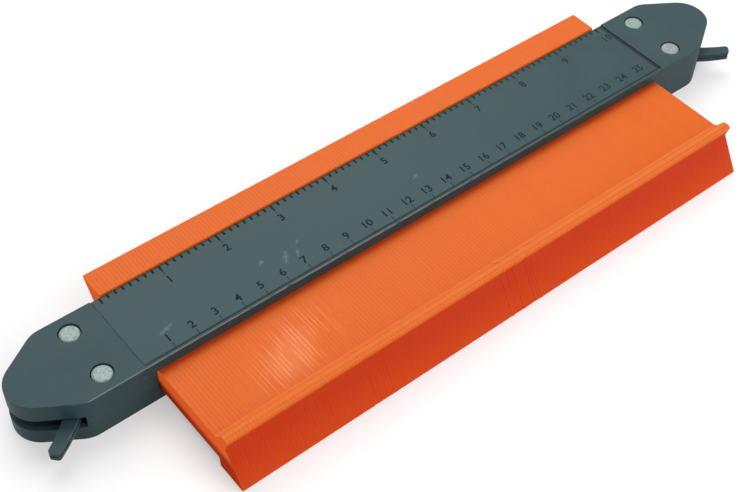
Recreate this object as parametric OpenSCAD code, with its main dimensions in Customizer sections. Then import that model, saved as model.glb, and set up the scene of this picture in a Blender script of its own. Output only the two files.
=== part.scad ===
/* [Housing] */
// Overall length from nose tip to nose tip
housing_len = 349.4; // [290:0.2:430]
// Width of the housing across the leaves
housing_w = 37.7; // [36:0.1:48]
// Thickness of the closed housing
housing_t = 20.7; // [19:0.1:27]
// Distance from the nose tip in to the leaf stack
end_len = 48.3; // [47.6:0.1:54]
// Radius of the rounded nose at each end
nose_r = 11.65; // [10.5:0.05:13]
// Radius of the shoulder between the long side and the tapered flank
shoulder_r = 10; // [6:0.5:12]
// Distance from the nose centre in to the shoulder centre
shoulder_back = 11.05; // [9:0.05:12]
// Thickness of the moulded walls
wall = 2.2; // [1.6:0.1:2.6]

/* [Ruler face] */
// Depth of the ruler face below the tops of the end caps
ruler_step = 0.6; // [0.3:0.05:1]
// Width of the raised rim along the probing side of the ruler face
ruler_rim = 1.1; // [0.8:0.1:2]
// Distance that the ruler face runs on past the leaf stack
ruler_margin = 4.5; // [2:0.1:6]
// Skin left outside the pockets under the plates
plate_skin = 1.9; // [1.4:0.1:2.4]
// Thickness of the stiffening ribs under the plates
rib_t = 1.8; // [1.2:0.1:2.6]
// Number of cross ribs under each plate
cross_ribs = 9; // [5:2:13]

/* [Leaves] */
// Number of separate banks that the sliding leaves are modelled in
bank_count = 28; // [14:2:28]
// Distance from one leaf to the next, before it is fitted to the stack
leaf_pitch = 1.523; // [1.4:0.001:3]
// Gap between two leaves
leaf_gap = 0.03; // [0.02:0.005:0.06]
// Gap between the last leaf and the side wall of its channel
stack_gap = 0.5; // [0.3:0.05:0.8]
// Length of one leaf
leaf_len = 100; // [88:0.2:130]
// Height of the leaf between its two broad ends
leaf_body_h = 11; // [9:0.1:13.2]
// Height of the broad end of a leaf
leaf_end_h = 20.1; // [18:0.1:20.6]
// Distance from the back tip in to the heel that stops the leaf
leaf_foot = 12.3; // [10:0.05:16]
// Distance from the probing edge in to the heel below the ridge
leaf_toe = 13.7; // [10:0.05:16]
// Lean of the heel over its height
heel_lean = 0.5; // [0:0.1:3]
// Distance from the probing edge in to the nose above it
leaf_rake = 7.9; // [6:0.1:10]
// Height of the nose of a leaf
leaf_nose_h = 5.6; // [3:0.1:7]
// Lean of the nose over its height, back under the ridge
nose_lean = 1.2; // [0:0.1:2]
// Radius of the rounded lip of the nose
lip_r = 1; // [0.5:0.1:1.4]
// Width of the ridge on top of the nose
leaf_ridge = 3.5; // [2.5:0.1:4.5]
// Radius of the hollow where the leaf body rises to its ridge
hollow_r = 3; // [1:0.1:4]
// Slope of the rise from the hollow to the ridge
hollow_angle = 56; // [40:1:75]
// Free space above and below a leaf in its channel
leaf_clear = 0.1; // [0.05:0.05:0.3]
// Gap between the heel and the housing with the leaves fully forward
stop_gap = 0.3; // [0.2:0.05:1]

/* [Locks] */
// Distance from the nose tip in to the lever pivot
pivot_back = 28.1; // [27:0.1:29]
// Diameter of the pivot pin
pivot_d = 4; // [3:0.1:5]
// Distance from the pivot out to the tip of the lever
lever_len = 34.4; // [31:0.1:40]
// Width of the lever arm beside its cam
lever_root_w = 6.4; // [4.5:0.1:7]
// Width of the lever arm at its tip
lever_tip_w = 4.4; // [3.5:0.1:5.5]
// Radius of the corners at the tip of the lever
lever_corner_r = 1.3; // [0.5:0.1:1.7]
// Sideways bow of the lever arm toward the probing side
lever_bow = 1.9; // [0:0.1:2]
// Thickness of the lever
lever_t = 4; // [3:0.1:4.6]
// Depth of the groove along both sides of the lever arm
groove_depth = 0.35; // [0.1:0.05:0.6]
// Height of the groove along the lever arm
groove_h = 0.9; // [0.4:0.1:1.4]
// Distance from the parting plane down to the middle of the lever
lever_drop = 0.55; // [0:0.05:1]
// Radius of the round cam on the lever
cam_r = 6.4; // [5.6:0.1:6.6]
// Offset of the cam centre from the pivot
cam_offset = 0.35; // [0.2:0.05:0.4]
// Gap between the cam and the follower pad of the clamp block
cam_gap = 0.08; // [0.06:0.01:0.12]
// Half width of the follower pad on the clamp block
pad_half = 4.6; // [3:0.1:5]
// Gap between the clamp block and the end leaf with the lock open
clamp_gap = 0.55; // [0.5:0.05:0.8]
// Height of the slot that the lever swings in
slot_h = 5.8; // [5:0.1:7]
// Half angle of the slot seen from the pivot
slot_half_angle = 63.7; // [60:0.1:66]
// Angle of the left lever, from straight out toward the probing side
left_lever_angle = 43; // [0:1:48]
// Angle of the right lever, from straight out toward the probing side
right_lever_angle = 38; // [0:1:48]

/* [Screws] */
// Diameter of the screw shank
screw_d = 4; // [3:0.1:4.2]
// Diameter of the screw head
screw_head_d = 7.9; // [7:0.1:8.2]
// Height of the screw head
screw_head_h = 2.3; // [1.8:0.1:2.6]
// Depth of the screw head below the top of the end cap
head_recess = 0.25; // [0:0.05:0.6]
// Width of the dark ring round the screw head
head_ring = 0.3; // [0.2:0.05:0.7]
// Distance between the two screws of an end, across the housing
screw_span = 22; // [21.6:0.1:24]
// Distance from the pivot in to the row of screws
screw_back = 2.8; // [2:0.1:4]
// Width of the nut across its flats
nut_w = 7; // [6:0.1:7.4]
// Height of the nut
nut_h = 3.2; // [2.4:0.1:3.4]

/* [Hidden] */
function bank_name(bank) = str("leaf_bank_", bank < 10 ? "0" : "", bank);

$fn = 96;
// Every cut runs on this far past the face that it leaves through
overrun = 1;

housing_colour = [0.27, 0.33, 0.34];
leaf_colour = [0.9, 0.38, 0.16];
steel_colour = [0.75, 0.77, 0.76];
block_colour = [0.12, 0.13, 0.14];

half_w = housing_w / 2;
// Both covers meet on the parting plane, so each is this deep
cover_depth = housing_t / 2;
inner_half_w = half_w - wall;
nose_x = housing_len / 2 - nose_r;
shoulder_x = nose_x - shoulder_back;
shoulder_y = half_w - shoulder_r;
// Direction of the outward normal of the flank, which touches nose and shoulder
flank_angle = atan2(-shoulder_y, shoulder_back)
    + acos((shoulder_r - nose_r) / norm([shoulder_back, shoulder_y]));

stack_half = housing_len / 2 - end_len;
leaf_count = round(2 * stack_half / leaf_pitch);
fitted_pitch = 2 * stack_half / leaf_count;
channel_half = stack_half + stack_gap;
channel_up = leaf_body_h / 2 + leaf_clear;
ruler_half = stack_half + ruler_margin;
leaf_centre_y = half_w + stop_gap + leaf_foot - leaf_len / 2;

pivot_x = housing_len / 2 - pivot_back;
screw_x = pivot_x - screw_back;
screw_places = [for (y = [-screw_span / 2, screw_span / 2]) [screw_x, y]];
// The deep part of an end starts where the clamp block's channel ends
boss_wall = 1.2;
boss_r = screw_d / 2 + wall;
wide_boss_r = screw_head_d / 2 + head_ring + boss_wall;
deep_x = screw_x - boss_r - 2 * cam_offset;
hole_clear = 0.15;
pin_seat_clear = 0.02;
pin_run_clear = 0.05;
// Free space of the clamp block against its channel
block_clear = 0.15;
// Free space above and below the lever between its two bosses
lever_clear = 0.15;
// Material left outside the blind ends of the pivot pin
pin_skin = 1.2;
nut_recess = 0.4;
nut_clear = 0.1;
nut_corner_r = (nut_w / 2 + nut_clear) / cos(30);
screw_chamfer = 0.5;

// Side of the housing: 1 is the right end and -1 the left end
function lever_angle(side) = side > 0 ? right_lever_angle : left_lever_angle;
// The cam's nearest point to the leaves, with its lever at rest
function cam_face_x(side) = pivot_x + cam_offset * sin(lever_angle(side)) - cam_r;

function arc(centre, radius, from, to, steps) =
    [for (i = [0:steps]) let (a = from + (to - from) * i / steps)
        centre + radius * [cos(a), sin(a)]];

// Plan of the right end from x_from to the nose, drawn inset from the outer face
module end_plan(inset, x_from) {
    normal = [cos(flank_angle), sin(flank_angle)];
    nose = [nose_x, 0];
    shoulder = [shoulder_x, shoulder_y];
    for (flip = [0, 1])
        mirror([0, flip, 0]) {
            translate(shoulder)
                circle(r = shoulder_r - inset);
            polygon([
                [x_from, 0],
                [x_from, half_w - inset],
                [shoulder_x, half_w - inset],
                shoulder + (shoulder_r - inset) * normal,
                nose + (nose_r - inset) * normal,
                nose]);
        }
    translate(nose)
        circle(r = nose_r - inset);
}

// Draws its children at the right end and mirrored at the left end
module both_ends() {
    for (flip = [0, 1])
        mirror([flip, 0, 0])
            children();
}

// Long plate over the leaves
module plate() {
    translate([-ruler_half, -half_w, channel_up])
        cube([2 * ruler_half, housing_w, cover_depth - channel_up]);
}

// Sunk ruler face, open on the far side and bounded by a rim on the probing side
module ruler_recess() {
    translate([-ruler_half, -half_w + ruler_rim, cover_depth - ruler_step])
        cube([2 * ruler_half, housing_w - ruler_rim + overrun, ruler_step + overrun]);
}

// Pockets between the ribs on the leaf side of a plate
module plate_pockets(face_z) {
    columns = cross_ribs + 1;
    cell = 2 * stack_half / columns;
    pocket_top = face_z - plate_skin;
    for (column = [0:columns - 1])
        for (flip = [0, 1])
            mirror([0, flip, 0])
                translate([-stack_half + column * cell + rib_t / 2, rib_t / 2, channel_up - overrun])
                    cube([cell - rib_t, inner_half_w - rib_t / 2, pocket_top - channel_up + overrun]);
}

// Sector that the lever sweeps through the wall of the nose
module lever_slot(slot_up) {
    reach = pivot_back + overrun;
    inner = screw_back + boss_r + wall;
    translate([pivot_x, 0, -overrun])
        linear_extrude(slot_up + overrun)
            polygon(concat(
                arc([0, 0], inner, -slot_half_angle, slot_half_angle, 12),
                arc([0, 0], reach, slot_half_angle, -slot_half_angle, 12)));
}

// One cover with its parting plane at z = 0 and its outer side up; its plate's lowest
// outer face is at face_z
module cover(face_z, slot_up, boss_z) {
    difference() {
        union() {
            difference() {
                union() {
                    plate();
                    both_ends() {
                        translate([channel_half, -half_w, 0])
                            cube([ruler_half - channel_half, housing_w, channel_up]);
                        linear_extrude(cover_depth)
                            end_plan(0, ruler_half);
                    }
                }
                plate_pockets(face_z);
                both_ends() {
                    translate([channel_half - overrun, -inner_half_w, -overrun])
                        cube([deep_x - channel_half + overrun, 2 * inner_half_w, channel_up + overrun]);
                    translate([0, 0, -overrun])
                        linear_extrude(cover_depth - wall + overrun)
                            end_plan(wall, deep_x);
                    lever_slot(slot_up);
                }
            }
            both_ends() {
                for (place = screw_places)
                    translate(place) {
                        cylinder(r = boss_r, h = cover_depth - wall / 2);
                        translate([0, 0, channel_up])
                            cylinder(r = wide_boss_r, h = cover_depth - wall / 2 - channel_up);
                    }
                translate([pivot_x, 0, boss_z])
                    cylinder(r = pivot_d / 2 + wall, h = cover_depth - wall / 2 - boss_z);
            }
        }
        both_ends() {
            for (place = screw_places)
                translate([place[0], place[1], -overrun])
                    cylinder(d = screw_d + 2 * hole_clear, h = cover_depth + 2 * overrun);
            translate([pivot_x, 0, -overrun])
                cylinder(d = pivot_d + 2 * pin_seat_clear, h = cover_depth - pin_skin + overrun);
        }
    }
}

module top_cover() {
    seat = cover_depth - head_recess - screw_head_h;
    color(housing_colour)
        translate([0, 0, cover_depth])
            difference() {
                cover(cover_depth - ruler_step, slot_h / 2 - lever_drop,
                    lever_t / 2 + lever_clear - lever_drop);
                ruler_recess();
                both_ends()
                    for (place = screw_places)
                        translate([place[0], place[1], seat])
                            cylinder(d = screw_head_d + 2 * head_ring, h = cover_depth - seat + overrun);
            }
}

module bottom_cover() {
    color(housing_colour)
        translate([0, 0, cover_depth])
            mirror([0, 0, 1])
                difference() {
                    cover(cover_depth, slot_h / 2 + lever_drop,
                        lever_t / 2 + lever_clear + lever_drop);
                    both_ends()
                        for (place = screw_places)
                            translate([place[0], place[1], cover_depth - nut_recess - nut_h])
                                cylinder(r = nut_corner_r, h = nut_recess + nut_h + overrun, $fn = 6);
                }
}

// Sideways place of the arm's centre line at a distance from the pivot
function bow_at(x) = -4 * lever_bow * x / lever_len * (1 - x / lever_len);

// Lever seen from above with its arm pointing along +X and its cam offset to +Y;
// the sides and the tip of the arm are drawn inset
module lever_plan(inset) {
    steps = 8;
    corner_x = lever_len - lever_corner_r;
    corner_y = lever_tip_w / 2 - lever_corner_r;
    tip_y = bow_at(corner_x);
    slope = (lever_tip_w - lever_root_w) / 2 / corner_x;
    places = [for (i = [0:steps]) corner_x * i / steps];
    translate([0, cam_offset])
        circle(r = cam_r);
    polygon(concat(
        [for (x = places) [x, bow_at(x) - lever_root_w / 2 - slope * x + inset]],
        [for (i = [0:steps])
            let (x = places[steps - i])
                [x, bow_at(x) + lever_root_w / 2 + slope * x - inset]]));
    translate([0, tip_y - corner_y])
        square([lever_len - inset, 2 * corner_y]);
    for (y = [-corner_y, corner_y])
        translate([corner_x, tip_y + y])
            circle(r = lever_corner_r - inset);
}

// Three layers, the middle one inset, so that a groove runs along the arm
module lever_body() {
    groove_z = (lever_t - groove_h) / 2;
    linear_extrude(lever_t)
        lever_plan(groove_depth);
    for (z = [0, lever_t - groove_z])
        translate([0, 0, z])
            linear_extrude(groove_z)
                lever_plan(0);
}

module lever(side) {
    color(housing_colour)
        mirror([side < 0 ? 1 : 0, 0, 0])
            translate([pivot_x, 0, cover_depth - lever_drop - lever_t / 2])
                rotate([0, 0, -lever_angle(side)])
                    difference() {
                        lever_body();
                        translate([0, 0, -overrun])
                            cylinder(d = pivot_d + 2 * pin_run_clear, h = lever_t + 2 * overrun);
                    }
}

module left_lever() lever(-1);
module right_lever() lever(1);

module pivot_pin(side) {
    end_gap = pin_skin + pin_seat_clear;
    color(steel_colour)
        translate([side * pivot_x, 0, end_gap])
            cylinder(d = pivot_d, h = housing_t - 2 * end_gap);
}

module left_pivot_pin() pivot_pin(-1);
module right_pivot_pin() pivot_pin(1);

// Block that the cam pushes against the end leaf, with a follower pad for the cam
module clamp_block(side) {
    inner_x = stack_half + clamp_gap;
    block_up = channel_up - block_clear;
    block_half_w = inner_half_w - block_clear;
    pad_x = cam_face_x(side) - cam_gap;
    shoulder_end = deep_x - clamp_gap;
    color(block_colour)
        mirror([side < 0 ? 1 : 0, 0, 0])
            translate([0, 0, cover_depth - block_up])
                linear_extrude(2 * block_up)
                    polygon([
                        [inner_x, -block_half_w],
                        [shoulder_end, -block_half_w],
                        [shoulder_end, -pad_half],
                        [pad_x, -pad_half],
                        [pad_x, pad_half],
                        [shoulder_end, pad_half],
                        [shoulder_end, block_half_w],
                        [inner_x, block_half_w]]);
}

module left_clamp_block() clamp_block(-1);
module right_clamp_block() clamp_block(1);

module cover_screws() {
    top = housing_t - head_recess;
    seat = top - screw_head_h;
    tip = nut_recess + screw_chamfer;
    head_r = screw_head_d / 2;
    shank_r = screw_d / 2;
    color(steel_colour)
        both_ends()
            for (place = screw_places)
                translate(place)
                    rotate_extrude()
                        polygon([
                            [0, tip],
                            [shank_r - screw_chamfer, tip],
                            [shank_r, tip + screw_chamfer],
                            [shank_r, seat],
                            [head_r, seat],
                            [head_r, top - screw_chamfer],
                            [head_r - screw_chamfer, top],
                            [0, top]]);
}

module hex_nuts() {
    color(steel_colour)
        both_ends()
            for (place = screw_places)
                translate([place[0], place[1], nut_recess])
                    difference() {
                        cylinder(r = nut_w / 2 / cos(30), h = nut_h, $fn = 6);
                        translate([0, 0, -overrun])
                            cylinder(d = screw_d + 2 * pin_seat_clear, h = nut_h + 2 * overrun);
                    }
}

// Outline of a leaf about its centre: y runs toward the back, z up from mid height
function leaf_outline() =
    let (
        tip = leaf_len / 2,
        heel = tip - leaf_foot,
        toe = tip - leaf_toe,
        nose = tip - leaf_rake,
        ridge_start = nose - leaf_ridge,
        body_up = leaf_body_h / 2,
        end_up = leaf_end_h / 2,
        nose_up = end_up - leaf_nose_h,
        lip_turn = 90 + atan(nose_lean / leaf_nose_h),
        hollow_rise = hollow_r * (1 - cos(hollow_angle)),
        slope_run = (end_up - body_up - hollow_rise) / tan(hollow_angle),
        hollow_start = ridge_start - slope_run - hollow_r * sin(hollow_angle))
    concat(
        arc([-hollow_start, body_up + hollow_r], hollow_r, -90, -90 - hollow_angle, 2),
        [[-ridge_start, end_up]],
        arc([-nose + lip_r, end_up - lip_r], lip_r, 90, 90 + lip_turn, 2),
        [[-nose + nose_lean, nose_up],
         [-tip, -end_up],
         [-toe - heel_lean, -end_up],
         [-toe, -body_up],
         [heel, -body_up],
         [heel + heel_lean, -end_up]],
        arc([nose - lip_r, -end_up + lip_r], lip_r, -90, -90 + lip_turn, 2),
        [[nose - nose_lean, -nose_up],
         [tip, end_up],
         [heel + heel_lean, end_up],
         [heel, body_up]]);

module leaf(index) {
    translate([-stack_half + index * fitted_pitch + leaf_gap / 2, leaf_centre_y, cover_depth])
        rotate([90, 0, 90])
            linear_extrude(fitted_pitch - leaf_gap)
                polygon(leaf_outline());
}

// Leaves are shared out over the banks as evenly as whole leaves allow
function first_leaf(bank) = round((bank - 1) * leaf_count / bank_count);

module leaf_bank(bank) {
    color(leaf_colour)
        for (index = [first_leaf(bank):first_leaf(bank + 1) - 1])
            leaf(index);
}

top_cover();
bottom_cover();
left_lever();
right_lever();
left_pivot_pin();
right_pivot_pin();
left_clamp_block();
right_clamp_block();
cover_screws();
hex_nuts();
for (bank = [1:bank_count])
    leaf_bank(bank);
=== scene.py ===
# %% [markdown]
# # Finishing a contour gauge
#
# A contour gauge copies the outline of a moulding or a pipe. Thin orange leaves slide through a dark
# slate housing, and two lock levers clamp them where they stand. The construction, with every real
# size, comes from the CAD model. This lesson only adds what the eye reads: softened edges, the scale,
# moulded plastic, zinc and light.

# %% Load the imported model
import bpy
import math
import random
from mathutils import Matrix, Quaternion, Vector


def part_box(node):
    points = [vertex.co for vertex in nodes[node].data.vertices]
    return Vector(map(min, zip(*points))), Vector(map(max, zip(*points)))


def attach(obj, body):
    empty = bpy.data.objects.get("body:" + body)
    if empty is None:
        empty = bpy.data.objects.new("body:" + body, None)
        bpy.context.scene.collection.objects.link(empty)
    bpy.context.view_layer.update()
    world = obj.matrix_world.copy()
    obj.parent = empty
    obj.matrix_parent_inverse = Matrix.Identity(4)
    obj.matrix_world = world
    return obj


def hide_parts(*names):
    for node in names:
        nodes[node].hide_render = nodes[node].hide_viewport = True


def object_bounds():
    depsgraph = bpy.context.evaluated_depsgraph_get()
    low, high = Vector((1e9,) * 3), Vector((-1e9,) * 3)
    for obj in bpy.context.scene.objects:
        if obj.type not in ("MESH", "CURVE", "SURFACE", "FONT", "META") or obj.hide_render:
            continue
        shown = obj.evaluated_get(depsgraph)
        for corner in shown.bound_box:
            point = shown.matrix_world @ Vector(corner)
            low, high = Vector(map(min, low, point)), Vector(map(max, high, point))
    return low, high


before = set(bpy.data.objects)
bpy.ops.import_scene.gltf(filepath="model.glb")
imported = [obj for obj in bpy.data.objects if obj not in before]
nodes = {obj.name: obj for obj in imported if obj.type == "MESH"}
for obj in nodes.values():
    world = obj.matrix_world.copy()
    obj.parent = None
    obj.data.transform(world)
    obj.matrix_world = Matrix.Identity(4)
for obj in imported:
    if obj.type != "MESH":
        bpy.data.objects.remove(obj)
cad_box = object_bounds()
print("CAD nodes:", len(nodes), "box from", list(cad_box[0]), "to", list(cad_box[1]))

# %% [markdown]
# ## The camera
#
# The photo is taken from above the left end, with the ruler running away to the upper right. The
# camera could be nudged by eye until it looks right. Here it was worked out from the ruler itself:
# its marks are true inches, so they fix the place, the lens and the small roll of the camera.

# %% Place the camera
MM = 0.001
sensor_width = 36
camera_place = Vector((-250.89, -274.73, 391.92)) * MM
camera_aim = Vector((-33.74, -21.18, 20.25)) * MM
camera_roll = math.radians(2.25)
camera_lens = 64.67

bpy.ops.object.select_all(action="DESELECT")
bpy.ops.object.camera_add(location=camera_place)
camera = bpy.context.active_object
camera.name = "photo_camera"
look = (camera_aim - camera_place).to_track_quat("-Z", "Y")
camera.rotation_euler = (look @ Quaternion((0, 0, 1), camera_roll)).to_euler()
camera.data.sensor_width = sensor_width
camera.data.lens = camera_lens
bpy.context.scene.camera = camera
print("camera to aim:", round((camera_aim - camera_place).length, 3), "m")

# %% [markdown]
# ## The light
#
# The photo is a cut-out on white under soft studio light. Faces that look up are brightest, those
# toward the probing side are about two thirds as bright, and those toward the left end are darkest.
# A broad lamp above and behind gives the tops their soft sheen, a weaker one stands in front and a
# little to the right, and the world fills the shadows. The white is only what the camera and the
# reflections see, because more light would wash the plastic out.

# %% Set the view and the world
world_fill = 0.36
background_white = 1.0
white = (1, 1, 1, 1)

scene = bpy.context.scene
scene.view_settings.view_transform = "Standard"
world = bpy.data.worlds.new("studio")
scene.world = world
world.use_nodes = True
world_tree = world.node_tree
world_tree.nodes.clear()
world_output = world_tree.nodes.new("ShaderNodeOutputWorld")
fill_light = world_tree.nodes.new("ShaderNodeBackground")
fill_light.inputs["Strength"].default_value = world_fill
seen_white = world_tree.nodes.new("ShaderNodeBackground")
seen_white.inputs["Strength"].default_value = background_white
for background in (fill_light, seen_white):
    background.inputs["Color"].default_value = white
print("world fill:", world_fill)


# %% Choose what each ray sees
def math_node(tree, operation, first, second=None):
    """A math node whose inputs are numbers or sockets; returns its output socket."""
    node = tree.nodes.new("ShaderNodeMath")
    node.operation = operation
    for slot, value in enumerate((first, second)):
        if value is None:
            continue
        if isinstance(value, (int, float)):
            node.inputs[slot].default_value = value
        else:
            tree.links.new(value, node.inputs[slot])
    return node.outputs[0]


def seen_ray_mask(tree):
    """1 for camera, mirror and glass rays, and 0 for the rays that light the object."""
    rays = tree.nodes.new("ShaderNodeLightPath").outputs
    mirror = math_node(tree, "MAXIMUM", rays["Is Glossy Ray"], rays["Is Transmission Ray"])
    return math_node(tree, "MAXIMUM", rays["Is Camera Ray"], mirror)


def blend_shaders(tree, factor, first, second):
    """The first shader where the factor is 0, and the second where it is 1."""
    node = tree.nodes.new("ShaderNodeMixShader")
    for socket, source in zip(node.inputs, (factor, first, second)):
        tree.links.new(source, socket)
    return node.outputs[0]


world_seen = seen_ray_mask(world_tree)
world_light = blend_shaders(world_tree, world_seen, fill_light.outputs[0], seen_white.outputs[0])
world_tree.links.new(world_light, world_output.inputs["Surface"])
print("world nodes:", len(world_tree.nodes))


# %% Hang the lamps
def hang_lamp(name, place, aim, width, power):
    """A square soft lamp at a place, turned toward its aim."""
    bpy.ops.object.light_add(type="AREA", location=place)
    lamp = bpy.context.active_object
    lamp.name = name
    lamp.data.size = width
    lamp.data.energy = power
    lamp.rotation_euler = (aim - place).to_track_quat("-Z", "Y").to_euler()
    print(name, "of", power, "W,", round((aim - place).length, 2), "m away")


middle = (cad_box[0] + cad_box[1]) / 2
hang_lamp("back_softbox", Vector((0.30, 0.80, 1.25)), middle, 1.4, 18)
hang_lamp("front_softbox", Vector((0.40, -0.95, 0.85)), middle, 1.5, 11)

# %% [markdown]
# ## The floor
#
# The gauge lies on white paper that runs on without an edge. White paper would throw much light up at
# the leaves, so the floor is a middle grey for the light that it bounces, and white for what the
# camera and the reflections see. It keeps the soft shadow of the gauge. A share of plain white glow
# keeps that shadow faint, and grows with distance until it hides the far edge of the floor.

# %% Lay the floor
floor_width = 6
floor_tone = 0.55

bpy.ops.mesh.primitive_plane_add(size=floor_width, location=(0, 0, cad_box[0].z))
floor = bpy.context.active_object
floor.name = "studio_floor"
floor_paint = bpy.data.materials.new("floor_paint")
floor_paint.use_nodes = True
floor_tree = floor_paint.node_tree
floor_shader = floor_tree.nodes["Principled BSDF"]
floor_shader.inputs["Roughness"].default_value = 0.9
floor_shader.inputs["Specular IOR Level"].default_value = 0.0
floor_mix = floor_tree.nodes.new("ShaderNodeMix")
floor_mix.data_type = "RGBA"
floor_mix.inputs["A"].default_value = (floor_tone, floor_tone, floor_tone, 1)
floor_mix.inputs["B"].default_value = white
floor_seen = seen_ray_mask(floor_tree)
floor_tree.links.new(floor_seen, floor_mix.inputs["Factor"])
floor_tree.links.new(floor_mix.outputs["Result"], floor_shader.inputs["Base Color"])
floor.data.materials.append(floor_paint)
print("floor at height", floor.location.z)

# %% Light the floor from below
near_glow, full_glow = 0.4, 1.0
glow_start, glow_full = 0.4, 1.2


def ramp(tree, value, start, end, low, high, way="LINEAR"):
    """Maps a socket's values between start and end onto low to high."""
    node = tree.nodes.new("ShaderNodeMapRange")
    node.interpolation_type = way
    tree.links.new(value, node.inputs["Value"])
    for label, number in (("From Min", start), ("From Max", end), ("To Min", low), ("To Max", high)):
        node.inputs[label].default_value = number
    return node.outputs["Result"]


def object_point(tree):
    """The point on the piece, in the frame's metres."""
    return tree.nodes.new("ShaderNodeTexCoord").outputs["Object"]


floor_distance = floor_tree.nodes.new("ShaderNodeVectorMath")
floor_distance.operation = "LENGTH"
floor_tree.links.new(object_point(floor_tree), floor_distance.inputs[0])
far_share = ramp(floor_tree, floor_distance.outputs["Value"], glow_start, glow_full, near_glow, full_glow)
glow_share = math_node(floor_tree, "MULTIPLY", far_share, floor_seen)
glow_light = floor_tree.nodes.new("ShaderNodeEmission")
floor_light = blend_shaders(floor_tree, glow_share, floor_shader.outputs[0], glow_light.outputs[0])
floor_tree.links.new(floor_light, floor_tree.nodes["Material Output"].inputs["Surface"])
print("floor glow near the gauge:", near_glow)

# %% [markdown]
# ## Shared surface effects
#
# Moulded plastic is never one flat colour. A spark-eroded mould leaves a fine grain, handling rubs the
# edges paler, and drawers leave light scuffs. The paler edges also stand in for painted highlights, and
# a painted shade darkens inner corners. Each of these is a small node group with its own inputs, so
# that every material can use it at its own strength.


# %% Helpers for node groups
def new_group(name, inputs, outputs):
    """An empty shader group with float inputs (name, value) and named float outputs."""
    group = bpy.data.node_groups.new(name, "ShaderNodeTree")
    for label, value in inputs:
        socket = group.interface.new_socket(label, in_out="INPUT", socket_type="NodeSocketFloat")
        socket.default_value = value
    for label in outputs:
        group.interface.new_socket(label, in_out="OUTPUT", socket_type="NodeSocketFloat")
    entry = group.nodes.new("NodeGroupInput")
    leave = group.nodes.new("NodeGroupOutput")
    return group, entry.outputs, leave.inputs


def axes_of(tree, vector):
    """The X, Y and Z sockets of a vector socket."""
    node = tree.nodes.new("ShaderNodeSeparateXYZ")
    tree.links.new(vector, node.inputs[0])
    return node.outputs


print("group helpers ready")


# %% Helpers for sums of masks
def product(tree, first, *others):
    """All the values multiplied."""
    for other in others:
        first = math_node(tree, "MULTIPLY", first, other)
    return first


def largest(tree, first, *others):
    """The largest of the values."""
    for other in others:
        first = math_node(tree, "MAXIMUM", first, other)
    return first


def opposite(tree, mask):
    """0 where the mask is 1, and 1 where it is 0."""
    return math_node(tree, "SUBTRACT", 1.0, mask)


print("mask helpers ready")


# %% Helpers for noises
def noise(tree, point, scale, detail=2.0, roughness=0.5):
    """A noise texture on a point; the scale is a number or a socket, in cycles per metre."""
    node = tree.nodes.new("ShaderNodeTexNoise")
    tree.links.new(point, node.inputs["Vector"])
    if isinstance(scale, (int, float)):
        node.inputs["Scale"].default_value = scale
    else:
        tree.links.new(scale, node.inputs["Scale"])
    node.inputs["Detail"].default_value = detail
    node.inputs["Roughness"].default_value = roughness
    return node.outputs["Fac"]


def spread(tree, value, low, high):
    """Stretches the values between low and high over 0 to 1, smoothly."""
    return ramp(tree, value, low, high, 0.0, 1.0, "SMOOTHSTEP")


def stretched(tree, point, factors, turn=0.0):
    """The point with its axes scaled and turned, so that a noise on it becomes streaks."""
    node = tree.nodes.new("ShaderNodeMapping")
    tree.links.new(point, node.inputs["Vector"])
    node.inputs["Scale"].default_value = factors
    node.inputs["Rotation"].default_value = (0, 0, turn)
    return node.outputs["Vector"]


print("noise helpers ready")

# %% Moulded grain
# A fine pebble with a faint larger mottle under it
grain_group, grain_in, grain_out = new_group(
    "Moulded grain", [("Grains per metre", 4500.0), ("Mottles per metre", 60.0)], ["Height", "Mottle"])
grain_point = object_point(grain_group)
pebble = noise(grain_group, grain_point, grain_in["Grains per metre"], 3.0, 0.6)
mottle = noise(grain_group, grain_point, grain_in["Mottles per metre"], 4.0, 0.55)
grain_group.links.new(pebble, grain_out["Height"])
grain_group.links.new(spread(grain_group, mottle, 0.3, 0.7), grain_out["Mottle"])
print("grain nodes:", len(grain_group.nodes))

# %% Rubbed and highlighted edges
# Where the rounded normal differs from the true one there is an edge: hands have rubbed it paler, and the
# paler edge also stands in for a painted highlight
rub_highlight_group, rub_highlight_in, rub_highlight_out = new_group("Rubbed and highlighted edges", [("Reach", 0.5 * MM), ("Amount", 0.6)], ["Wear"])
rounded = rub_highlight_group.nodes.new("ShaderNodeBevel")
rounded.samples = 4
rub_highlight_group.links.new(rub_highlight_in["Reach"], rounded.inputs["Radius"])
true_normal = rub_highlight_group.nodes.new("ShaderNodeNewGeometry").outputs["Normal"]
agreement = rub_highlight_group.nodes.new("ShaderNodeVectorMath")
agreement.operation = "DOT_PRODUCT"
rub_highlight_group.links.new(rounded.outputs["Normal"], agreement.inputs[0])
rub_highlight_group.links.new(true_normal, agreement.inputs[1])
edge = spread(rub_highlight_group, opposite(rub_highlight_group, agreement.outputs["Value"]), 0.004, 0.09)
patchy = spread(rub_highlight_group, noise(rub_highlight_group, object_point(rub_highlight_group), 350.0, 4.0), 0.3, 0.75)
rub_highlight_group.links.new(product(rub_highlight_group, edge, patchy, rub_highlight_in["Amount"]), rub_highlight_out["Wear"])
print("rubbed edge nodes:", len(rub_highlight_group.nodes))

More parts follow.
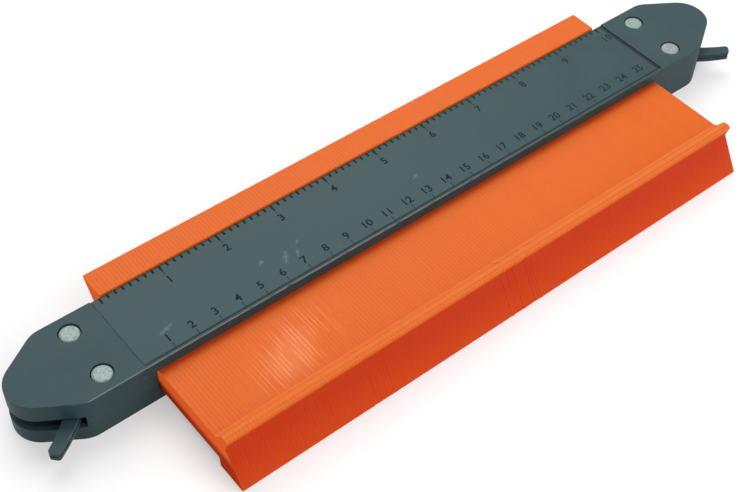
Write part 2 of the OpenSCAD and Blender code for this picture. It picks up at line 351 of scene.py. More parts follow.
# %% Painted corner shade
# Inner corners of a piece are shut in by its own walls, and a painted shade darkens them there
corner_shade_group, corner_shade_in, corner_shade_out = new_group("Painted corner shade", [("Reach", MM), ("Amount", 0.7)], ["Grime"])
shut_in = corner_shade_group.nodes.new("ShaderNodeAmbientOcclusion")
shut_in.samples = 8
shut_in.only_local = True
corner_shade_group.links.new(corner_shade_in["Reach"], shut_in.inputs["Distance"])
corner = spread(corner_shade_group, opposite(corner_shade_group, shut_in.outputs["AO"]), 0.03, 0.34)
corner_shade_group.links.new(product(corner_shade_group, corner, corner_shade_in["Amount"]), corner_shade_out["Grime"])
print("grime nodes:", len(corner_shade_group.nodes))

# %% Light scuffs
# Two crossing sets of long thin streaks, cut off by a threshold so that only a few remain
scuff_group, scuff_in, scuff_out = new_group("Light scuffs", [("Amount", 0.5)], ["Scuff"])
scuff_point = object_point(scuff_group)
one_way = noise(scuff_group, stretched(scuff_group, scuff_point, (1, 14, 1), 0.5), 160.0)
other_way = noise(scuff_group, stretched(scuff_group, scuff_point, (11, 1, 1), 0.9), 150.0)
streaks = largest(scuff_group, spread(scuff_group, one_way, 0.71, 0.78),
                  spread(scuff_group, other_way, 0.72, 0.79))
scuff_group.links.new(product(scuff_group, streaks, scuff_in["Amount"]), scuff_out["Scuff"])
print("scuff nodes:", len(scuff_group.nodes))

# %% A mark at one place
# A soft oval at a measured place, turned and sized, broken up by fine scratches along its length
patch_group, patch_in, patch_out = new_group(
    "Placed patch", [("Centre X", 0.0), ("Centre Y", 0.0), ("Turn", 0.0), ("Half length", 4 * MM),
                     ("Half width", MM), ("Scratches per metre", 3000.0)], ["Patch", "Scratched"])
patch_axes = axes_of(patch_group, object_point(patch_group))
from_x = math_node(patch_group, "SUBTRACT", patch_axes["X"], patch_in["Centre X"])
from_y = math_node(patch_group, "SUBTRACT", patch_axes["Y"], patch_in["Centre Y"])
turn_cos = math_node(patch_group, "COSINE", patch_in["Turn"])
turn_sin = math_node(patch_group, "SINE", patch_in["Turn"])
along = math_node(patch_group, "ADD", product(patch_group, from_x, turn_cos),
                  product(patch_group, from_y, turn_sin))
across = math_node(patch_group, "SUBTRACT", product(patch_group, from_y, turn_cos),
                   product(patch_group, from_x, turn_sin))
along_share = math_node(patch_group, "DIVIDE", along, patch_in["Half length"])
across_share = math_node(patch_group, "DIVIDE", across, patch_in["Half width"])
share_squared = math_node(patch_group, "ADD", math_node(patch_group, "POWER", along_share, 2.0),
                          math_node(patch_group, "POWER", across_share, 2.0))
oval = math_node(patch_group, "SQRT", share_squared)
inside = spread(patch_group, opposite(patch_group, oval), 0.0, 0.7)
print("patch outline nodes:", len(patch_group.nodes))

# %% Scratches in that mark
scratch_stretch = 0.15
scratch_point = patch_group.nodes.new("ShaderNodeCombineXYZ")
patch_group.links.new(product(patch_group, along, scratch_stretch), scratch_point.inputs["X"])
patch_group.links.new(across, scratch_point.inputs["Y"])
scratch_noise = noise(patch_group, scratch_point.outputs["Vector"], patch_in["Scratches per metre"], 3.0)
scratches = spread(patch_group, scratch_noise, 0.42, 0.62)
patch_group.links.new(inside, patch_out["Patch"])
patch_group.links.new(product(patch_group, inside, scratches), patch_out["Scratched"])
print("shared effects:", [group.name for group in bpy.data.node_groups])


# %% Helpers for materials
def new_material(name, roughness, specular=0.5, metallic=0.0):
    """A material with its Principled shader; returns material, tree and shader."""
    material = bpy.data.materials.new(name)
    material.use_nodes = True
    shader = material.node_tree.nodes["Principled BSDF"]
    shader.inputs["Roughness"].default_value = roughness
    shader.inputs["Specular IOR Level"].default_value = specular
    shader.inputs["Metallic"].default_value = metallic
    return material, material.node_tree, shader


def use_group(tree, group, **values):
    """Places a node group in a material, with underscores in its input names for spaces."""
    node = tree.nodes.new("ShaderNodeGroup")
    node.node_tree = group
    for label, value in values.items():
        node.inputs[label.replace("_", " ")].default_value = value
    return node.outputs


def placed_patch(tree, x, y, turn, half_length, half_width):
    """The mark at one place, with its measures in millimetres and its turn in degrees."""
    return use_group(tree, patch_group, Centre_X=x * MM, Centre_Y=y * MM, Turn=math.radians(turn),
                     Half_length=half_length * MM, Half_width=half_width * MM)


print("material helpers ready")


# %% Helpers for colour, roughness and bump
def blend_colours(tree, factor, first, second):
    """Mixes two colours, each a colour or a socket, by a mask socket."""
    node = tree.nodes.new("ShaderNodeMix")
    node.data_type = "RGBA"
    tree.links.new(factor, node.inputs["Factor"])
    for label, colour in (("A", first), ("B", second)):
        if isinstance(colour, tuple):
            node.inputs[label].default_value = (*colour, 1)
        else:
            tree.links.new(colour, node.inputs[label])
    return node.outputs["Result"]


def vary_roughness(tree, shader, mask, low, high):
    """Roughness runs from low to high with the mask."""
    tree.links.new(ramp(tree, mask, 0.0, 1.0, low, high), shader.inputs["Roughness"])


def raise_surface(tree, shader, height, distance, strength):
    """A bump from a height socket."""
    node = tree.nodes.new("ShaderNodeBump")
    node.inputs["Distance"].default_value = distance
    node.inputs["Strength"].default_value = strength
    tree.links.new(height, node.inputs["Height"])
    tree.links.new(node.outputs["Normal"], shader.inputs["Normal"])


print("colour helpers ready")

# %% [markdown]
# ## Slate plastic of the housing
#
# The covers are injection-moulded in a dark slate grey with a green cast and a fine satin texture. A
# flat grey would look like cardboard, so the colour drifts a little and the edges are rubbed paler,
# which also serves as a painted highlight on them. Painted shade darkens inner corners, the steps at
# the ends of the ruler, the strip behind its rim and its far edge. A painted highlight runs along the
# rim, and a painted sheen lightens the ruler face toward the left. The ruler face of this gauge also
# has a few scuffs of its own, and each is put where it lies.

# %% Slate plastic
slate = (0.0270, 0.059, 0.064)
slate_pale = (0.0325, 0.066, 0.072)
# A painted sheen for the ruler face, a pale colour for rubbed edges that also serves as painted highlight,
# and painted shade
sheen_slate = (0.0385, 0.0745, 0.0795)
rubbed_highlight_slate = (0.150, 0.195, 0.200)
shade_slate = (0.008, 0.018, 0.021)
slate_gloss = 0.16


def slate_plastic(name, edge_amount, worn_places=(), own_marks=None):
    """Moulded slate plastic with rubbed and highlighted edges, scuffs and painted corner shade; a worn
    place is x, y, turn, half length, half width.
    """
    material, tree, shader = new_material(name, 0.5, slate_gloss)
    grain = use_group(tree, grain_group)
    painted_shade = use_group(tree, corner_shade_group, Reach=1.3 * MM)["Grime"]
    wear_and_highlight = use_group(tree, rub_highlight_group, Amount=edge_amount)["Wear"]
    scuff = use_group(tree, scuff_group, Amount=0.3)["Scuff"]
    for worn_place in worn_places:
        scuff = largest(tree, scuff, placed_patch(tree, *worn_place)["Scratched"])
    colour = blend_colours(tree, grain["Mottle"], slate, slate_pale)
    # A ruler adds its painted rim highlight to the rubbed edges, its painted shade to the corner shade, and
    # a painted sheen to the colour
    if own_marks is not None:
        rim_highlight, painted_edge_shade, painted_sheen = own_marks(tree)
        wear_and_highlight = largest(tree, wear_and_highlight, rim_highlight)
        painted_shade = largest(tree, painted_shade, painted_edge_shade)
        colour = blend_colours(tree, painted_sheen, colour, sheen_slate)
    # Painted shade in the corners and along the ruler's steps, rim and far edge
    colour = blend_colours(tree, painted_shade, colour, shade_slate)
    # Rubbed edges and scuffs, and the painted highlights on the edges, turn paler
    colour = blend_colours(tree, largest(tree, wear_and_highlight, scuff), colour, rubbed_highlight_slate)
    tree.links.new(colour, shader.inputs["Base Color"])
    vary_roughness(tree, shader, largest(tree, grain["Height"], scuff), 0.40, 0.58)
    raise_surface(tree, shader, grain["Height"], 0.04 * MM, 0.3)
    return material


housing_plastic = slate_plastic("housing_plastic", 0.6)
lever_plastic = slate_plastic("lever_plastic", 0.9)
print("slate plastics:", housing_plastic.name, lever_plastic.name)

# %% Where the ruler's marks lie
ruler_scuffs = ((-116, -8, 20, 4.5, 1.4), (-71, -3.2, 40, 2.0, 1.2), (4, -3.2, 30, 2.6, 1.4),
                (-62, -6.5, 62, 4.5, 1.6), (-54, -2.7, 35, 1.8, 0.8), (-57, -7.2, 55, 3.0, 0.9))
ruler_depth = 0.6 * MM
ruler_half = 130.9 * MM
fade_from = -20 * MM
fade_to = 120 * MM
face_slack = 0.1 * MM

front_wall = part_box("top_cover")[0].y
far_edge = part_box("top_cover")[1].y
ruler_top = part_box("top_cover")[1].z
ruler_floor = ruler_top - ruler_depth
print("ruler floor at", round(ruler_floor / MM, 2), "mm")


# %% The ruler's own marks
def band(tree, value, start, end, soft):
    """1 where a socket lies between two values, with soft borders outside them."""
    return product(tree, spread(tree, value, start - soft, start),
                   opposite(tree, spread(tree, value, end, end + soft)))


def ruler_marks(tree):
    """Masks of the painted highlight along the rim, of the painted shade behind the rim, at both steps and
    along the far edge, and of the painted sheen on the face.
    """
    axes = axes_of(tree, object_point(tree))
    inward = math_node(tree, "SUBTRACT", axes["Y"], front_wall)
    rightward = spread(tree, axes["X"], fade_from, fade_to)
    broken = spread(tree, noise(tree, object_point(tree), 220.0, 3.0), 0.25, 0.5)
    # Painted highlight along the top outer edge of the rim, fading toward the right
    high = spread(tree, axes["Z"], ruler_top - 0.38 * MM, ruler_top - 0.2 * MM)
    outer = opposite(tree, spread(tree, inward, 0.25 * MM, 0.5 * MM))
    rim_highlight = product(tree, high, outer, math_node(tree, "SUBTRACT", 0.9, rightward), broken)

    above_floor = spread(tree, axes["Z"], ruler_floor - face_slack, ruler_floor - face_slack / 2)
    on_face = product(tree, above_floor, math_node(tree, "LESS_THAN", axes["Z"], ruler_floor + 0.4 * MM),
                      band(tree, axes["X"], -ruler_half, ruler_half, 0.2 * MM))
    # Painted shade on the ruler face: behind the rim, at both end steps and along the far edge
    behind_rim = band(tree, inward, 1.0 * MM, 2.1 * MM, 0.4 * MM)
    right_step = band(tree, axes["X"], ruler_half - 1.2 * MM, ruler_half + face_slack, 0.5 * MM)
    left_step = band(tree, axes["X"], -ruler_half - face_slack, -ruler_half + 0.4 * MM, 0.3 * MM)
    far_line = spread(tree, inward, 36.9 * MM, 37.3 * MM)
    painted_edge_shade = product(tree, largest(tree, behind_rim, right_step, left_step, far_line), on_face, 0.9)
    # Painted sheen: the ruler face is paler toward the left
    painted_sheen = product(tree, on_face, opposite(tree, rightward))
    return rim_highlight, painted_edge_shade, painted_sheen


ruler_plastic = slate_plastic("ruler_plastic", 0.6, ruler_scuffs, ruler_marks)
print("ruler plastic nodes:", len(ruler_plastic.node_tree.nodes))

# %% [markdown]
# ## Orange plastic of the leaves
#
# Each leaf is a flat moulding, and no two take the light alike: they come from different shots and
# rub on each other. So every leaf gets its own slight tone from its place along the ruler. In one
# patch of the stack, fine light lines on the leaf edges and a pale sheen are painted highlights. The
# probing faces and the ends are painted a deeper red than the tops, as painted shade.

# %% Measure the leaves
bank_names = sorted(name for name in nodes if name.startswith("leaf_bank"))
first_bank = nodes[bank_names[0]]
edge_places = sorted({round(vertex.co.x, 6) for vertex in first_bank.data.vertices})
leaf_gap = edge_places[2] - edge_places[1]
stack_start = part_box(bank_names[0])[0].x - leaf_gap / 2
stack_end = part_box(bank_names[-1])[1].x + leaf_gap / 2
leaf_count = round((stack_end - stack_start) / (edge_places[2] - edge_places[0]))
leaf_pitch = (stack_end - stack_start) / leaf_count
ridge_height = max(vertex.co.z for vertex in first_bank.data.vertices if vertex.co.y < -60 * MM)
print("leaves:", leaf_count, "pitch", round(leaf_pitch / MM, 3), "mm")
print("ridge height:", round(ridge_height / MM, 2), "mm")

# %% A tone for each leaf
orange = (0.705, 0.129, 0.015)
orange_deep = (0.675, 0.115, 0.012)
leaf_gloss = 0.11
tone_share = 0.3

leaf_plastic, leaf_tree, leaf_shader = new_material("leaf_plastic", 0.4, leaf_gloss)
leaf_point = object_point(leaf_tree)
leaf_axes = axes_of(leaf_tree, leaf_point)
from_start = math_node(leaf_tree, "SUBTRACT", leaf_axes["X"], stack_start)
leaf_place = math_node(leaf_tree, "DIVIDE", from_start, leaf_pitch)
leaf_tone = leaf_tree.nodes.new("ShaderNodeTexWhiteNoise")
leaf_tone.noise_dimensions = "1D"
leaf_tree.links.new(math_node(leaf_tree, "FLOOR", leaf_place), leaf_tone.inputs["W"])
own_tone = product(leaf_tree, leaf_tone.outputs["Value"], tone_share)
leaf_colour = blend_colours(leaf_tree, own_tone, orange, orange_deep)
print("leaf tones run from", orange, "toward", orange_deep)

# %% Which way each face looks
facing = axes_of(leaf_tree, leaf_tree.nodes.new("ShaderNodeTexCoord").outputs["Normal"])
tilt = math_node(leaf_tree, "ABSOLUTE", facing["Y"])
slopes = spread(leaf_tree, tilt, 0.08, 0.35)
front_faces = spread(leaf_tree, product(leaf_tree, facing["Y"], -1.0), 0.66, 0.86)
end_faces = spread(leaf_tree, math_node(leaf_tree, "ABSOLUTE", facing["X"]), 0.5, 0.9)
back_faces = product(leaf_tree, spread(leaf_tree, facing["Y"], 0.45, 0.9),
                     math_node(leaf_tree, "LESS_THAN", facing["Z"], 0.3))
upright = largest(leaf_tree, front_faces, end_faces, back_faces)
print("face masks ready")

# %% Painted shade on the upright faces
# They are painted a darker red, reddest halfway up, and a painted highlight brightens them at the ridge
slope_orange = (0.78, 0.175, 0.030)
lower_red = (0.735, 0.068, 0.006)
shaded_red = (0.665, 0.045, 0.005)
ridge_highlight_orange = (0.96, 0.185, 0.016)
body_top = 12 * MM

# Painted light: slopes that face toward or away from the probing side are a lighter orange
leaf_colour = blend_colours(leaf_tree, slopes, leaf_colour, slope_orange)
# Painted shade: the upright faces turn darker red from the bottom up to the top of the body
leaf_red = blend_colours(leaf_tree, spread(leaf_tree, leaf_axes["Z"], 0.0, body_top), lower_red, shaded_red)
# Painted highlight on the probing faces just under the ridge
near_ridge = spread(leaf_tree, leaf_axes["Z"], ridge_height - 3.4 * MM, ridge_height - 0.6 * MM)
ridge_highlight = product(leaf_tree, near_ridge, front_faces)
leaf_red = blend_colours(leaf_tree, ridge_highlight, leaf_red, ridge_highlight_orange)
leaf_colour = blend_colours(leaf_tree, upright, leaf_colour, leaf_red)
print("upright faces coloured")

# %% Painted glints on the leaf edges
orange_pale = (0.90, 0.30, 0.13)
# Painted highlights: fine light lines on the leaf edges in one patch, and a pale painted sheen in its
# middle
glinting = placed_patch(leaf_tree, -83, -40, 20, 34, 17)["Patch"]
bloom = placed_patch(leaf_tree, -85, -41, 30, 17, 11)["Patch"]

from_centre = math_node(leaf_tree, "SUBTRACT", math_node(leaf_tree, "FRACT", leaf_place), 0.5)
edge_line = spread(leaf_tree, math_node(leaf_tree, "ABSOLUTE", from_centre), 0.32, 0.42)
line_choice = noise(leaf_tree, stretched(leaf_tree, leaf_point, (1, 0.06, 0.06)), 900.0)
glint = product(leaf_tree, edge_line, glinting, spread(leaf_tree, line_choice, 0.40, 0.58))
leaf_highlight = math_node(leaf_tree, "ADD", product(leaf_tree, glint, 0.8), product(leaf_tree, bloom, 0.3))
leaf_colour = blend_colours(leaf_tree, leaf_highlight, leaf_colour, orange_pale)
print("stroked edges drawn")

# %% The mouth of the housing
# Little light reaches the leaves where they enter the housing, so they turn a deep red there
mouth_red = (0.52, 0.040, 0.008)
mouth_start, mouth_end = 0.3 * MM, 4 * MM

from_wall = math_node(leaf_tree, "SUBTRACT", front_wall, leaf_axes["Y"])
mouth = product(leaf_tree, opposite(leaf_tree, spread(leaf_tree, from_wall, mouth_start, mouth_end)),
                math_node(leaf_tree, "LESS_THAN", leaf_axes["Y"], front_wall + MM), 0.8)
leaf_colour = blend_colours(leaf_tree, mouth, leaf_colour, mouth_red)
# Rubbed leaf edges turn paler, which also serves as a painted highlight
leaf_wear_and_highlight = use_group(leaf_tree, rub_highlight_group, Reach=0.2 * MM, Amount=0.08)["Wear"]
leaf_colour = blend_colours(leaf_tree, leaf_wear_and_highlight, leaf_colour, orange_pale)
leaf_tree.links.new(leaf_colour, leaf_shader.inputs["Base Color"])
print("leaf colour joined")

# %% Leaf surface
leaf_drag = noise(leaf_tree, stretched(leaf_tree, leaf_point, (1, 0.02, 1)), 2500.0)
dull_ends = largest(leaf_tree, product(leaf_tree, leaf_drag, 0.25), end_faces)
vary_roughness(leaf_tree, leaf_shader, dull_ends, 0.34, 0.9)
raise_surface(leaf_tree, leaf_shader, leaf_drag, 0.01 * MM, 0.3)
print("leaf surface ready")

# %% Painted glow on the end leaves
# The outer leaf of each end is thin and free, and a painted glow on its upper part stands in for light from
# above passing through it
unlit = (0.0, 0.0, 0.0)
glow_orange = (0.40, 0.075, 0.014)
stack_centre = (stack_start + stack_end) / 2
stack_half = (stack_end - stack_start) / 2

off_centre = math_node(leaf_tree, "SUBTRACT", leaf_axes["X"], stack_centre)
outermost_face = math_node(leaf_tree, "GREATER_THAN", math_node(leaf_tree, "ABSOLUTE", off_centre),
                           stack_half - face_slack)
lit_through = product(leaf_tree, end_faces, outermost_face,
                      spread(leaf_tree, leaf_axes["Z"], 7 * MM, 11.5 * MM))
leaf_glow = blend_colours(leaf_tree, lit_through, unlit, glow_orange)
leaf_tree.links.new(leaf_glow, leaf_shader.inputs["Emission Color"])
leaf_shader.inputs["Emission Strength"].default_value = 1.0
print("leaf plastic nodes:", len(leaf_tree.nodes))

# %% [markdown]
# ## Metal and the hidden block plastic
#
# The screw heads are zinc plated and dull, with a blotchy bloom and small dents rather than a mirror
# shine. The pins are bright drawn steel, and the clamp blocks are black glass-filled nylon.

# %% Zinc and steel
zinc_light = (0.285, 0.350, 0.340)
zinc_dark = (0.190, 0.240, 0.233)
zinc_spot = (0.075, 0.100, 0.100)
steel_light = (0.6, 0.6, 0.6)
steel_dark = (0.45, 0.45, 0.46)


def plated_metal(name, light, dark, rough_low, rough_high, metallic=1.0):
    """Metal with a blotchy plated bloom and small dark dents."""
    material, tree, shader = new_material(name, 0.4, 0.5, metallic)
    grain = use_group(tree, grain_group, Grains_per_metre=2400.0, Mottles_per_metre=1500.0)
    wear_and_highlight = use_group(tree, rub_highlight_group, Reach=0.3 * MM, Amount=0.5)["Wear"]
    dent = spread(tree, noise(tree, object_point(tree), 1500.0), 0.64, 0.74)
    colour = blend_colours(tree, grain["Mottle"], light, dark)
    colour = blend_colours(tree, dent, colour, zinc_spot)
    # Rubbed edges turn light, which also serves as a painted highlight
    colour = blend_colours(tree, wear_and_highlight, colour, light)
    tree.links.new(colour, shader.inputs["Base Color"])
    vary_roughness(tree, shader, grain["Mottle"], rough_low, rough_high)
    raise_surface(tree, shader, grain["Height"], 0.05 * MM, 0.5)
    return material


screw_zinc = plated_metal("screw_zinc", zinc_light, zinc_dark, 0.5, 0.7, 0.4)
nut_zinc = plated_metal("nut_zinc", zinc_light, zinc_dark, 0.3, 0.5, 0.8)
pin_steel = plated_metal("pin_steel", steel_light, steel_dark, 0.2, 0.35)
print("metals ready")

# %% Black nylon
black_nylon = (0.012, 0.013, 0.014)
black_nylon_pale = (0.022, 0.024, 0.026)
block_plastic, block_tree, block_shader = new_material("block_plastic", 0.6)
block_grain = use_group(block_tree, grain_group, Grains_per_metre=3000.0)
block_colour = blend_colours(block_tree, block_grain["Mottle"], black_nylon, black_nylon_pale)
block_tree.links.new(block_colour, block_shader.inputs["Base Color"])
vary_roughness(block_tree, block_shader, block_grain["Height"], 0.5, 0.7)
raise_surface(block_tree, block_shader, block_grain["Height"], 0.04 * MM, 0.4)
print("block plastic ready")

# %% [markdown]
# ## Softened copies of the CAD pieces
#
# A CAD edge is perfectly sharp, and a sharp edge catches no light. A real moulding has a small round
# on every edge, which shows as a thin bright line. The CAD mesh may not be changed, so each piece is
# copied, its loose triangles are merged back into flat faces, and a bevel rounds the edges.


# %% Helpers for copied pieces
def select_only(piece):
    """Makes one object the only selected one, and the active one."""
    bpy.ops.object.select_all(action="DESELECT")
    piece.select_set(True)
    bpy.context.view_layer.objects.active = piece


def copied_node(node_name, piece_name):
    """A merged copy of a CAD node's mesh, with its flat faces whole again."""
    piece = bpy.data.objects.new(piece_name, nodes[node_name].data.copy())
    scene.collection.objects.link(piece)
    select_only(piece)
    bpy.ops.mesh.customdata_custom_splitnormals_clear()
    bpy.ops.object.mode_set(mode="EDIT")
    bpy.ops.mesh.select_all(action="SELECT")
    bpy.ops.mesh.remove_doubles(threshold=0.001 * MM)
    bpy.ops.mesh.dissolve_limited(angle_limit=math.radians(0.5))
    bpy.ops.object.mode_set(mode="OBJECT")
    piece.data.materials.clear()
    return piece


def soften_edges(piece, width, segments, sharp=30, smooth=35):
    """Rounds every edge sharper than an angle and shades the rest smooth."""
    select_only(piece)
    bevel = piece.modifiers.new("softened edges", "BEVEL")
    bevel.width = width
    bevel.segments = segments
    bevel.limit_method = "ANGLE"
    bevel.angle_limit = math.radians(sharp)
    bpy.ops.object.modifier_apply(modifier=bevel.name)
    bpy.ops.object.shade_smooth_by_angle(angle=math.radians(smooth))
    even = piece.modifiers.new("flat faces stay flat", "WEIGHTED_NORMAL")
    even.keep_sharp = True
    bpy.ops.object.modifier_apply(modifier=even.name)


print("copy helpers ready")


# %% Helpers for dressing a piece
def dress(piece, material, body, slot_name, *stands_for):
    """Gives a piece its material, its body and the nodes that it stands for; the slot name is not used."""
    piece.data.materials.append(material)
    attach(piece, body)
    if stands_for:
        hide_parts(*stands_for)


def softened_node(node_name, piece_name, width, segments, material, body, slot_name):
    """The whole way from a CAD node to a softened and dressed piece."""
    piece = copied_node(node_name, piece_name)
    soften_edges(piece, width, segments)
    dress(piece, material, body, slot_name, node_name)
    print(piece_name, "faces:", len(piece.data.polygons))
    return piece


print("dressing helpers ready")

# %% Covers
cover_round = 0.28 * MM
top_shell = softened_node("top_cover", "top_cover_shell", cover_round, 3,
                          ruler_plastic, "housing", "housing_plastic")
softened_node("bottom_cover", "bottom_cover_shell", cover_round, 3,
              housing_plastic, "housing", "housing_plastic")

# %% Levers
lever_round = 0.3 * MM
softened_node("left_lever", "left_lever_arm", lever_round, 2,
              lever_plastic, "left_lock_lever", "lever_plastic")
softened_node("right_lever", "right_lever_arm", lever_round, 2,
              lever_plastic, "right_lock_lever", "lever_plastic")

# %% [markdown]
# ## The stack of leaves
#
# Leaves that were pushed by hand never line up exactly. Each leaf is moved as a whole by a hair, and
# two groups that were touched last stand a bit further out or in. The chamfers on their edges are
# tiny, because 166 leaves have to stay light, and they shrink toward the right, where the joint lines
# fade in the photo. The faces also move a hair toward each other, so that the joints stay fine. On the
# real gauge the free ends spread by a millimetre or so. That is left out, because bent leaves could
# not slide past each other here.

# %% How each leaf stands
leaf_wander = 0.01 * MM
pushed_leaves = {82: -0.10, 83: 0.08, 86: -0.09, 89: 0.10, 92: -0.08, 38: 0.08, 44: -0.07}

random.seed(166)
leaf_shift = [random.gauss(0, leaf_wander) for _ in range(leaf_count)]
for number, push in pushed_leaves.items():
    leaf_shift[number] = push * MM
print("largest push:", round(max(leaf_shift) / MM, 2), "mm")

# %% Leaves
leaf_round = 0.035 * MM
round_fade = 0.6
leaf_closing = 0.005 * MM


def sideways(number, x):
    """Shift of one face of a leaf toward its neighbour; the outer faces of the stack stay."""
    leaf_centre = stack_start + (number + 0.5) * leaf_pitch
    outermost = (number == 0 and x < leaf_centre) or (number == leaf_count - 1 and x > leaf_centre)
    return 0.0 if outermost else math.copysign(leaf_closing, x - leaf_centre)


for bank, bank_name in enumerate(bank_names, start=1):
    leaves = copied_node(bank_name, f"leaves_of_bank_{bank:02d}")
    soften_edges(leaves, leaf_round * (1 - round_fade * bank / len(bank_names)), 1, 60, 55)
    for vertex in leaves.data.vertices:
        number = int((vertex.co.x - stack_start) / leaf_pitch)
        vertex.co.x += sideways(number, vertex.co.x)
        vertex.co.y += leaf_shift[number]
    dress(leaves, leaf_plastic, f"leaves_{bank:02d}", "leaf_plastic", bank_name)
print("faces of the last bank:", len(leaves.data.polygons))

# %% [markdown]
# ## Screws, nuts and hidden parts
#
# The screw heads sit in counterbores with a thin dark ring around them. Each head is a flat pan with a
# slightly raised middle. The top faces of the copied heads are picked by their height, inset and
# lifted, and the bevel then rounds both steps.

# %% Screw heads
head_rim = 0.7 * MM
head_lift = 0.12 * MM
head_round = 0.12 * MM
screw_heads = copied_node("cover_screws", "cover_screw_set")
head_top = max(vertex.co.z for vertex in screw_heads.data.vertices)
bpy.ops.object.mode_set(mode="EDIT")
bpy.ops.mesh.select_mode(type="FACE")
bpy.ops.mesh.select_all(action="DESELECT")
bpy.ops.object.mode_set(mode="OBJECT")
for face in screw_heads.data.polygons:
    face.select = abs(face.center.z - head_top) < head_lift and face.normal.z > 0.99
print("head faces:", sum(face.select for face in screw_heads.data.polygons))
bpy.ops.object.mode_set(mode="EDIT")
bpy.ops.mesh.inset(thickness=head_rim, use_individual=True)
bpy.ops.transform.translate(value=(0, 0, head_lift))
bpy.ops.object.mode_set(mode="OBJECT")
soften_edges(screw_heads, head_round, 2, 40, 40)
dress(screw_heads, screw_zinc, "housing", "screw_zinc", "cover_screws")
print("screw faces:", len(screw_heads.data.polygons))

# %% Nuts, pins and clamp blocks
nut_round = 0.25 * MM
softened_node("hex_nuts", "plated_nuts", nut_round, 2, nut_zinc, "housing", "nut_zinc")
for name, material in (("left_pivot_pin", pin_steel), ("right_pivot_pin", pin_steel),
                       ("left_clamp_block", block_plastic), ("right_clamp_block", block_plastic)):
    nodes[name].data.materials.clear()
    nodes[name].data.materials.append(material)
print("hidden pieces dressed")

# %% [markdown]
# ## The scale
#
# Marks in eighths of an inch run along the far edge of the ruler, and centimetres with their figures
# along the near edge. They are shallow and darker than the plastic around them, and worn fainter
# toward the right end. They could be cut into the cover, but at this size a thin inlay reads the
# same and keeps the cover's mesh clean. One mark of each kind is modelled and an Array repeats it.

# %% Scale colours
tooth_dark = (0.006, 0.014, 0.016)
tooth_worn = (0.013, 0.026, 0.030)
figure_dark = (0.006, 0.014, 0.017)
figure_worn = (0.013, 0.028, 0.032)
mark_gloss = 0.06


def scale_colour(name, strong, worn):
    """Darkened plastic of the marks, worn paler toward the right end."""
    material, tree, shader = new_material(name, 0.55, mark_gloss)
    grain = use_group(tree, grain_group, Grains_per_metre=6000.0, Mottles_per_metre=900.0)
    fade = spread(tree, axes_of(tree, object_point(tree))["X"], fade_from, fade_to)
    patchy_fade = largest(tree, fade, product(tree, grain["Mottle"], 0.3))
    tree.links.new(blend_colours(tree, patchy_fade, strong, worn), shader.inputs["Base Color"])
    vary_roughness(tree, shader, grain["Height"], 0.45, 0.7)
    raise_surface(tree, shader, grain["Height"], 0.02 * MM, 0.3)
    return material


tooth_paint = scale_colour("tooth_paint", tooth_dark, tooth_worn)
figure_paint = scale_colour("figure_paint", figure_dark, figure_worn)
print("scale colours ready")

# %% Find the ruler face
bpy.context.view_layer.update()
face_height = top_shell.ray_cast(Vector((0, 0, 1)), Vector((0, 0, -1)))[1].z
scale_zero = -127.3 * MM
inch = 25.4 * MM
centimetre = 10 * MM
mark_proud = 0.02 * MM
mark_sunk = 0.15 * MM
print("ruler face at", round(face_height / MM, 2), "mm")


# %% Make a row of marks
def row_of_marks(name, paint, start, step, count, width, near, far):
    """A row of equal marks from one softened bar and an Array modifier."""
    bpy.ops.object.select_all(action="DESELECT")
    bpy.ops.mesh.primitive_cube_add(size=1, location=(0, 0, 0))
    marks = bpy.context.active_object
    marks.name = name
    bpy.ops.object.mode_set(mode="EDIT")
    bpy.ops.mesh.select_all(action="SELECT")
    bpy.ops.transform.resize(value=(width, far - near, mark_proud + mark_sunk))
    bpy.ops.transform.translate(value=(start, (near + far) / 2, face_height + (mark_proud - mark_sunk) / 2))
    bpy.ops.object.mode_set(mode="OBJECT")
    ends = marks.modifiers.new("round ends", "BEVEL")
    ends.width = width * 0.25
    ends.segments = 2
    ends.limit_method = "ANGLE"
    repeat = marks.modifiers.new("repeat", "ARRAY")
    repeat.use_relative_offset = False
    repeat.use_constant_offset = True
    repeat.constant_offset_displace = (step, 0, 0)
    repeat.count = count
    bpy.ops.object.modifier_apply(modifier=ends.name)
    bpy.ops.object.modifier_apply(modifier=repeat.name)
    dress(marks, paint, "housing", "housing_plastic")
    print(name, "faces:", len(marks.data.polygons))


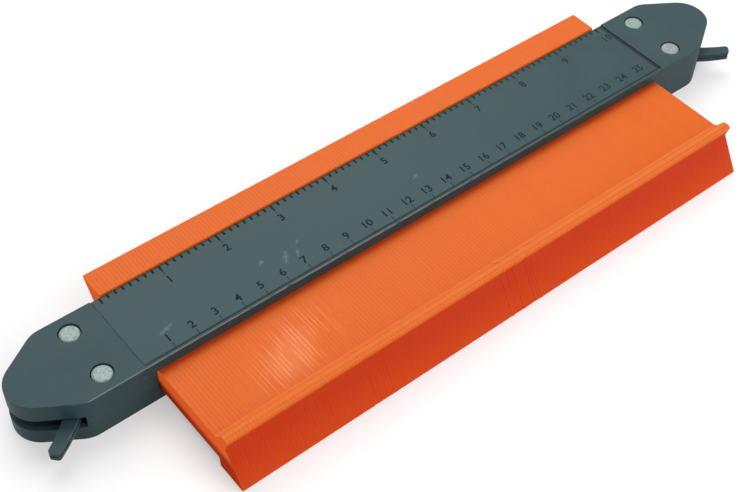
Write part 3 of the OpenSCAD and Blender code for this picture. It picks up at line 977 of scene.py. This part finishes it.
# %% Lay the marks
tooth_far = far_edge - 0.08 * MM
tooth_near = far_edge - 2.2 * MM
inch_near = far_edge - 3.2 * MM
line_near = far_edge - 5.3 * MM
rim_foot = front_wall + 1.4 * MM
centimetre_far = -14.2 * MM
tooth_width = 1.05 * MM
inch_width = 0.9 * MM
line_width = 0.3 * MM
centimetre_width = 0.35 * MM

row_of_marks("eighth_inch_marks", tooth_paint, scale_zero, inch / 8, 81, tooth_width, tooth_near, tooth_far)
row_of_marks("inch_marks", tooth_paint, scale_zero, inch, 11, inch_width, inch_near, tooth_near)
row_of_marks("inch_lines", figure_paint, scale_zero + inch, inch, 9, line_width, line_near, inch_near)
row_of_marks("centimetre_marks", figure_paint, scale_zero + centimetre, centimetre, 25,
             centimetre_width, rim_foot, centimetre_far)
row_of_marks("millimetre_marks", figure_paint, scale_zero, MM, 255, line_width, rim_foot, rim_foot + MM)

# %% [markdown]
# ## The numbers
#
# Plain figures stand beside the inch and centimetre marks. A text object is the quickest way to a
# well-shaped figure. It is turned into a mesh before its place is applied, so that the finished
# piece sits at the origin like every other one.

# %% Numbers
figure_height = 3.5 * MM
figure_share = 0.7
figure_boldness = 0.09 * MM
inch_row = 10.85 * MM
centimetre_row = -11.75 * MM


def row_of_numbers(name, last, step, y):
    """The figures 1 to last, each centred on its mark, as one piece."""
    figures = []
    for number in range(1, last + 1):
        bpy.ops.object.select_all(action="DESELECT")
        bpy.ops.object.text_add(location=(scale_zero + number * step, y, face_height - mark_proud))
        figure = bpy.context.active_object
        figure.data.body = str(number)
        figure.data.size = figure_height / figure_share
        figure.data.align_x = "CENTER"
        figure.data.align_y = "CENTER"
        figure.data.extrude = mark_proud * 2
        figure.data.offset = figure_boldness
        figure.data.resolution_u = 3
        bpy.ops.object.convert(target="MESH")
        bpy.ops.object.transform_apply(location=True, rotation=True, scale=True)
        figures.append(bpy.context.active_object)
    bpy.ops.object.select_all(action="DESELECT")
    for figure in figures:
        figure.select_set(True)
    bpy.context.view_layer.objects.active = figures[0]
    bpy.ops.object.join()
    numbers = bpy.context.active_object
    numbers.name = name
    dress(numbers, figure_paint, "housing", "housing_plastic")
    print(name, "faces:", len(numbers.data.polygons))


row_of_numbers("inch_numbers", 10, inch, inch_row)
row_of_numbers("centimetre_numbers", 25, centimetre, centimetre_row)
